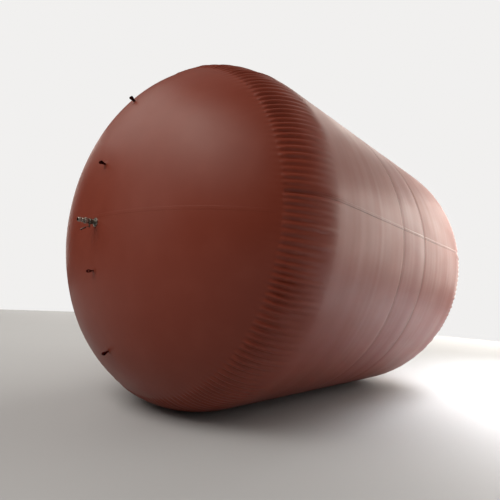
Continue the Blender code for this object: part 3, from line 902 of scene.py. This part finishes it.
def valve_body_mesh():
    """Cast body: hexagon ends, round belly and a boss for the stem, round a bored ball chamber."""
    cavity = BALL_RADIUS + BALL_CLEARANCE
    mouth = np.arcsin(BORE / cavity)
    shoulder = VALVE_SHOULDER * 1.04
    flats = VALVE_SHOULDER * 2 * 0.985
    outer = [(VALVE_START + GAP, flats / 2 - 0.001), (VALVE_START + GAP + 0.002, shoulder + 0.004)]
    outer += [(along, shoulder + 0.004) for along in np.linspace(VALVE_START + 0.004, VALVE_END - 0.004, 49)]
    outer += [(VALVE_END - 0.002, shoulder + 0.004), (VALVE_END, flats / 2 - 0.001)]
    arc = [(BALL_CENTRE + cavity * cos(a), cavity * sin(a)) for a in np.linspace(mouth, pi - mouth, 17)]
    outline = outer + [(VALVE_END, BORE)] + arc + [(VALVE_START + GAP, BORE)]

    def relief(along, radius, angle):
        if radius < cavity + 0.0005:
            return radius
        end = min(along - VALVE_START, VALVE_END - along)
        limit = flats / 2 + min(max(end - GAP, 0.0), 0.004) * 0.9 - 0.0005
        edge = min(flat_distance(flats, angle), limit)
        waist = edge - 0.0045 * min(1.0, max(0.0, (end - 0.013) / 0.003))
        belly = sqrt(max(0.0, VALVE_BELLY ** 2 - (1.55 * (along - BALL_CENTRE)) ** 2))
        sharp = 60.0
        blend = ((waist * 1000) ** sharp + (belly * 1000) ** sharp) ** (1 / sharp) / 1000
        return max(blend if end > 0.012 else edge, cavity + 0.0006)
    return turned_mesh("valve_body_casting", outline, relief=relief)


def sweep_mesh(name, stations, place, sharp_angle=40.0):
    """Closed solid through rings. A station is a point, a normal and its (across, normal) ring."""
    points = []
    for spot, normal, ring in stations:
        for across, lift in ring:
            points.append(place(spot[0] + normal[0] * lift, across, -(spot[1] + normal[1] * lift)))
    return mesh_from(name, points, band_faces(len(stations), len(stations[0][2])), sharp_angle)


def bar_stations(path, widths, thicknesses, roundness, ring_points):
    """Rings of rounded-rectangle section along a bent bar's side view."""
    power = 2 / roundness
    stations = []
    for spot, tangent, width, thick in zip(path, unit_tangents(path), widths, thicknesses):
        ring = []
        for k in range(ring_points):
            angle = 2 * pi * k / ring_points
            c, s = cos(angle), sin(angle)
            across = width / 2 * np.sign(c) * abs(c) ** power
            lift = thick / 2 * np.sign(s) * abs(s) ** power
            ring.append((across, lift))
        stations.append((spot, (-tangent[1], tangent[0]), ring))
    return stations


def dense(path, step):
    """Points every step along a polyline."""
    path = np.array(path, float)
    runs = run_lengths(path)
    places = np.linspace(0.0, runs[-1], max(2, ceil(runs[-1] / step)))
    return np.stack([np.interp(places, runs, path[:, k]) for k in (0, 1)], axis=1)


def build_lever(cast, bright, vinyl):
    """Ball, stem, blade, dipped grip and nut, which turn together on the upright stem."""
    reach = np.arcsin(BALL_BORE / BALL_RADIUS)
    ball = [(BALL_CENTRE + BALL_RADIUS * cos(a), BALL_RADIUS * sin(a))
            for a in np.linspace(pi - reach, reach, 33)]
    mesh = turned_mesh("valve_ball_bored", ball)
    fitting(mesh, bright, "valve_ball", "lever", weighted=False)

    top, low = -(BALL_RADIUS + GAP), -(LEVER_DROP - GAP)
    stem = [(top, 0.0), (top, STEM_RADIUS - 0.0006), (top - 0.0006, STEM_RADIUS),
            (low + 0.0006, STEM_RADIUS), (low, STEM_RADIUS - 0.0006), (low, 0.0)]
    mesh = plug_mesh("valve_stem_pin", stem)
    fitting(mesh, cast, "valve_stem", "lever", weighted=False)

    def lever_place(out, across, up):
        return at_port(BALL_CENTRE + out, across, up)

    level = LEVER_DROP + LEVER_THICKNESS / 2
    knee = (LEVER_KNEE, level)
    blade_end = (LEVER_BLADE_END[0], level + LEVER_BLADE_END[1])
    path = eased(dense([(-LEVER_HEEL, level), knee, blade_end], 0.0012), 12)
    travel = np.linspace(0.0, 1.0, len(path)) * (LEVER_HEEL + LEVER_KNEE + 0.022)
    heel = np.clip(travel / (LEVER_WIDTH / 2), 0.0, 1.0)
    widths = LEVER_WIDTH * np.sqrt(np.maximum(0.12, 1 - (1 - heel) ** 2))
    blade = bar_stations(path, widths, np.full(len(path), LEVER_THICKNESS), 9.0, 40)
    mesh = sweep_mesh("lever_blade_strip", blade, lever_place)
    fitting(mesh, cast, "lever_blade", "lever")

    direction = (Vector(blade_end) - Vector(knee)).normalized()
    grip_start = Vector(blade_end) + direction * GAP
    grip_tip = Vector((GRIP_END[0], level + GRIP_END[1]))
    bend = grip_start + direction * 0.016
    path = eased(dense([grip_start, bend, grip_tip], 0.0015), 60)
    share = np.linspace(0.0, 1.0, len(path))
    ends = np.clip(np.minimum(share / 0.05, (1 - share) / 0.09), 0.0, 1.0)
    ease = np.sqrt(np.maximum(0.10, 1 - (1 - ends) ** 2))
    swell = 0.90 + 0.10 * np.sin(pi * np.clip(share * 1.15, 0.0, 1.0))
    grip = bar_stations(path, GRIP_WIDTH * ease * swell, GRIP_THICKNESS * ease * swell, 3.4, 32)
    mesh = sweep_mesh("lever_grip_sleeve", grip, lever_place, 60.0)
    fitting(mesh, vinyl, "lever_grip", "lever", weighted=False)

    nut_top = -(LEVER_DROP + LEVER_THICKNESS + GAP)
    nut_low = nut_top - LEVER_NUT_DEPTH
    flats = LEVER_NUT_CORNER * sqrt(3)
    outline = [(nut_top, 0.0), (nut_top, flats / 2), (nut_top - 0.001, LEVER_NUT_CORNER),
               (nut_low + 0.0025, LEVER_NUT_CORNER), (nut_low + 0.0012, flats / 2),
               (nut_low + 0.0012, 0.0055), (nut_low, 0.0048), (nut_low, 0.0)]
    mesh = plug_mesh("lever_nut_hexagon", outline, flats)
    fitting(mesh, bright, "lever_nut", "lever")


class Shader:
    """Small helper that builds a Principled material from nodes."""

    def __init__(self, name, colour, roughness, metallic=0.0):
        self.material = bpy.data.materials.new(name)
        self.material.use_nodes = True
        self.tree = self.material.node_tree
        self.surface = self.tree.nodes["Principled BSDF"]
        self.colour = colour
        self.surface.inputs["Base Color"].default_value = (*colour, 1.0)
        self.surface.inputs["Roughness"].default_value = roughness
        self.surface.inputs["Metallic"].default_value = metallic
        self.places = self.node("TexCoord")

    def set(self, socket, value):
        self.surface.inputs[socket].default_value = value

    def join(self, output, target):
        self.tree.links.new(output, target)

    def node(self, kind, place=None, sockets=None, **settings):
        """New node with its settings and socket values, fed with a kind of surface place if named."""
        made = self.tree.nodes.new(f"ShaderNode{kind}")
        for name, value in settings.items():
            setattr(made, name, value)
        for socket, value in (sockets or {}).items():
            made.inputs[socket].default_value = value
        if place is not None:
            self.join(self.places.outputs[place], made.inputs["Vector"])
        return made

    def noise(self, scale, detail):
        return self.node("TexNoise", "Object", {"Scale": scale, "Detail": detail}).outputs["Fac"]

    def bands(self, period, direction, place="UV"):
        """Evenly spaced ridges, with a period in metres."""
        sockets = {"Scale": pi / 10 / period, "Distortion": 0.0}
        return self.node("TexWave", place, sockets, bands_direction=direction).outputs["Fac"]

    def axis(self, letter, place="Object"):
        """One coordinate of the surface, in metres."""
        return self.node("SeparateXYZ", place).outputs[letter]

    def inside_bore(self):
        """One within the port's bore, easing to nothing at its mouth's rim."""
        across = self.node("VectorMath", "Object", {1: (0.0, 1.0, 1.0)}, operation="MULTIPLY")
        away = self.node("VectorMath", None, {1: (0.0, 0.0, PORT_HEIGHT)}, operation="DISTANCE")
        self.join(across.outputs["Vector"], away.inputs[0])
        return self.ranged(away.outputs["Value"], 1.0, 0.0, BORE, BORE + 0.002)

    def ranged(self, value, low, high, from_low=0.3, from_high=0.7):
        node = self.node("MapRange", None, {"From Min": from_low, "From Max": from_high,
                                            "To Min": low, "To Max": high})
        self.join(value, node.inputs["Value"])
        return node.outputs["Result"]

    def uneven_roughness(self, low, high, scale, detail):
        self.join(self.ranged(self.noise(scale, detail), low, high), self.surface.inputs["Roughness"])

    def times(self, a, b):
        node = self.node("Math", operation="MULTIPLY")
        self.join(a, node.inputs[0])
        self.join(b, node.inputs[1])
        return node.outputs["Value"]

    def tint(self, factor, other, onto=None):
        """Blend the base colour, or an earlier blend, towards another colour."""
        sockets = {"A": (*self.colour, 1.0), "B": (*other, 1.0)}
        node = self.node("Mix", None, sockets, data_type="RGBA")
        self.join(factor, node.inputs["Factor"])
        if onto is not None:
            self.join(onto, node.inputs["A"])
        self.join(node.outputs["Result"], self.surface.inputs["Base Color"])
        return node.outputs["Result"]

    def bump(self, height, strength, distance, under=None):
        node = self.node("Bump", None, {"Strength": strength, "Distance": distance})
        self.join(height, node.inputs["Height"])
        if under is not None:
            self.join(under, node.inputs["Normal"])
        self.join(node.outputs["Normal"], self.surface.inputs["Normal"])
        return node.outputs["Normal"]


def membrane_shader(name, colour):
    """Satin PVC coating over a fine weave, with faint blotches and a pale dusting."""
    made = Shader(name, colour, MEMBRANE_ROUGHNESS)
    made.set("IOR", MEMBRANE_IOR)
    dusty = tuple(c * 1.1 + 0.010 for c in colour)
    deep = (colour[0] * 0.90, colour[1] * 0.84, colour[2] * 0.84)
    blotches = made.tint(made.ranged(made.noise(0.45, 5.0), 0.0, 0.8), deep)
    dusted = made.tint(made.ranged(made.noise(3.1, 9.0), 0.0, 0.35, 0.45, 0.8), dusty, blotches)
    made.uneven_roughness(MEMBRANE_ROUGHNESS - 0.04, MEMBRANE_ROUGHNESS + 0.04, 1.3, 6.0)
    weave = made.times(made.bands(0.0011, "X"), made.bands(0.0011, "Y"))
    under = made.bump(weave, 0.6, 0.00004)
    made.bump(made.noise(14.0, 5.0), 0.25, 0.0006, under)
    return made, dusted


def membrane_material(name, colour):
    return membrane_shader(name, colour)[0].material


def lap_material():
    """Membrane of the welds, with painted shade along one edge and a painted highlight along the other."""
    made, dusted = membrane_shader("lap_skin", LAP_RED)
    across = made.axis("Y", "UV")
    edge = LAP_WIDTH / 2
    # Painted shade: a darker band along one edge of the lap, in patches
    shade_line = made.ranged(across, 0.0, 1.0, edge - LAP_SHADE_LINE, edge - LAP_SHADE_LINE + LAP_LINE_FADE)
    highlight_line = made.ranged(across, 1.0, 0.0, LAP_HIGHLIGHT_LINE - edge - LAP_LINE_FADE, LAP_HIGHLIGHT_LINE - edge)
    patchy = made.ranged(made.noise(1.7, 6.0), 0.0, 0.75)
    edge_shaded = made.tint(made.times(shade_line, patchy), tuple(c * 0.25 for c in LAP_RED), dusted)
    # Painted highlight: a pale band along the other edge, coming in along X
    highlight_reach = made.ranged(made.axis("X"), 0.0, 1.0, *LAP_HIGHLIGHT_RUN)
    highlight_patches = made.times(made.ranged(made.noise(0.9, 7.0), 0.1, 0.9), highlight_reach)
    made.tint(made.times(highlight_line, highlight_patches), LAP_HIGHLIGHT, edge_shaded)
    return made.material


def webbing_material():
    """Dark woven strap: ribs across it and a fine twill along it."""
    made = Shader("webbing_strap", WEBBING, 0.9)
    made.set("Specular IOR Level", 0.04)
    made.tint(made.ranged(made.noise(90.0, 4.0), 0.0, 0.5), tuple(c * 1.8 for c in WEBBING))
    ribs = made.times(made.bands(0.0016, "X"), made.bands(0.0022, "Y"))
    made.bump(ribs, 0.8, 0.0004)
    return made.material


def thread_material():
    made = Shader("thread", THREAD, 0.6)
    made.bump(made.noise(900.0, 2.0), 0.4, 0.0002)
    return made.material


def vinyl_material():
    """Dipped vinyl grip: glossy, with a soft uneven skin."""
    made = Shader("grip_vinyl", GRIP_RED, 0.34)
    made.set("Coat Weight", 0.2)
    made.set("Coat Roughness", 0.2)
    made.uneven_roughness(0.28, 0.46, 60.0, 5.0)
    made.bump(made.noise(140.0, 3.0), 0.3, 0.0005)
    return made.material


def steel_shader(name, colour, roughness, smears, most, darkening):
    """Steel with darker smears, a noise of (scale, detail), and painted shade in the bore."""
    made = Shader(name, colour, roughness, 1.0)
    smeared = made.ranged(made.noise(*smears), 0.0, most)
    worn = made.tint(smeared, tuple(c * darkening for c in colour))
    # Painted shade inside the bore
    made.tint(made.inside_bore(), BORE_SHADE, worn)
    return made


def cast_material():
    """Cast stainless steel: fine sand grain, darker smears and painted shade in the bore."""
    made = steel_shader("cast_metal", CAST_STEEL, 0.46, (70.0, 6.0), 0.7, 0.55)
    made.uneven_roughness(0.38, 0.58, 160.0, 5.0)
    made.bump(made.noise(700.0, 4.0), 0.5, 0.00025)
    return made.material


def bright_material():
    """Turned steel: fine tool rings and a few dull smears."""
    made = steel_shader("turned_metal", BRIGHT_STEEL, 0.36, (45.0, 5.0), 0.5, 0.7)
    made.uneven_roughness(0.30, 0.44, 85.0, 6.0)
    made.bump(made.bands(0.0006, "X", "Object"), 0.25, 0.00004)
    return made.material


def build_camera():
    camera = bpy.data.cameras.new("camera")
    camera.sensor_width = SENSOR
    camera.lens = LENS
    camera.clip_end = 500.0
    holder = in_scene("camera", camera)
    level = Vector((cos(CAMERA_YAW), -sin(CAMERA_YAW), 0.0))
    forward = Vector((sin(CAMERA_YAW) * cos(CAMERA_PITCH), cos(CAMERA_YAW) * cos(CAMERA_PITCH),
                      sin(CAMERA_PITCH)))
    above = level.cross(forward)
    right = level * cos(CAMERA_ROLL) + above * sin(CAMERA_ROLL)
    up = above * cos(CAMERA_ROLL) - level * sin(CAMERA_ROLL)
    turn = Matrix((right, up, -forward)).transposed()
    holder.matrix_world = Matrix.Translation(CAMERA_PLACE) @ turn.to_4x4()
    bpy.context.scene.camera = holder


def add_soft_light(name, place, backwards, size, power, tint):
    """Square light at a place, which shines away from the backwards direction."""
    light = bpy.data.lights.new(name, "AREA")
    light.shape = "SQUARE"
    light.size = size
    light.energy = power
    light.color = tint
    holder = in_scene(name, light)
    holder.location = place
    holder.rotation_euler = backwards.to_track_quat("Z", "Y").to_euler()
    return light


def build_lights():
    """Soft lights that face the bag from far off, and one over the floor past its far end."""
    middle = Vector((0.0, 0.0, AXIS_HEIGHT))
    for azimuth, elevation, share in SOFT_LIGHTS:
        around, above = radians(azimuth), radians(elevation)
        way = Vector((cos(around) * cos(above), sin(around) * cos(above), sin(above)))
        add_soft_light(f"soft_light_{azimuth}_{elevation}", middle + way * SOFT_LIGHT_DISTANCE, way,
                       SOFT_LIGHT_SIZE, SOFT_LIGHT_POWER * share, SOFT_LIGHT_TINT)
    floor_light = add_soft_light("floor_light", Vector(FLOOR_LIGHT_PLACE), Vector((0.0, 0.0, 1.0)),
                                 FLOOR_LIGHT_SIZE, FLOOR_LIGHT_POWER, FLOOR_LIGHT_TINT)
    floor_light.spread = FLOOR_LIGHT_SPREAD


def build_studio():
    """Pale floor, pale surroundings that give little light, and broad soft lights."""
    floor_mesh = bpy.data.meshes.new("floor")
    bm = bmesh.new()
    bmesh.ops.create_circle(bm, cap_ends=True, segments=96, radius=FLOOR_RADIUS)
    bm.to_mesh(floor_mesh)
    bm.free()
    floor = in_scene("floor", floor_mesh)
    floor.location.z = -0.001
    pale = Shader("floor_paint", FLOOR_PAINT, 0.8)
    pale.tint(pale.ranged(pale.noise(0.4, 4.0), 0.0, 0.3), tuple(c * 0.94 for c in FLOOR_PAINT))
    floor_mesh.materials.append(pale.material)

    world = bpy.data.worlds.new("studio")
    bpy.context.scene.world = world
    world.use_nodes = True
    tree = world.node_tree
    backdrop = tree.nodes["Background"]
    backdrop.inputs["Color"].default_value = (1.0, 0.99, 0.98, 1.0)
    rays = tree.nodes.new("ShaderNodeLightPath")
    strength = tree.nodes.new("ShaderNodeMapRange")
    strength.inputs["To Min"].default_value = AMBIENT_LIGHT
    strength.inputs["To Max"].default_value = BACKDROP_BRIGHTNESS
    tree.links.new(rays.outputs["Is Camera Ray"], strength.inputs["Value"])
    tree.links.new(strength.outputs["Result"], backdrop.inputs["Strength"])
    build_lights()
    bpy.context.scene.view_settings.view_transform = "Standard"


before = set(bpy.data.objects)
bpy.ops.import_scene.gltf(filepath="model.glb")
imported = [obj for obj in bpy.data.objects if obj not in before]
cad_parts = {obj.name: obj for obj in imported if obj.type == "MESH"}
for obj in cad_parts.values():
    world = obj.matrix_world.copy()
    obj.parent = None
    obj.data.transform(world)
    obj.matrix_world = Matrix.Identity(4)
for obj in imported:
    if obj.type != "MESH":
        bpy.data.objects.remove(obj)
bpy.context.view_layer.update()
build_camera()
build_studio()

membrane = membrane_material("membrane_skin", MEMBRANE_RED)
lap = lap_material()
build_membrane(membrane, membrane_material("middle_skin", MIDDLE_ROLL_RED))
build_laps(lap, membrane)
build_tabs(webbing_material(), thread_material(), membrane)
cast = cast_material()
bright = bright_material()
build_port(cast, bright)
build_lever(cast, bright, vinyl_material())
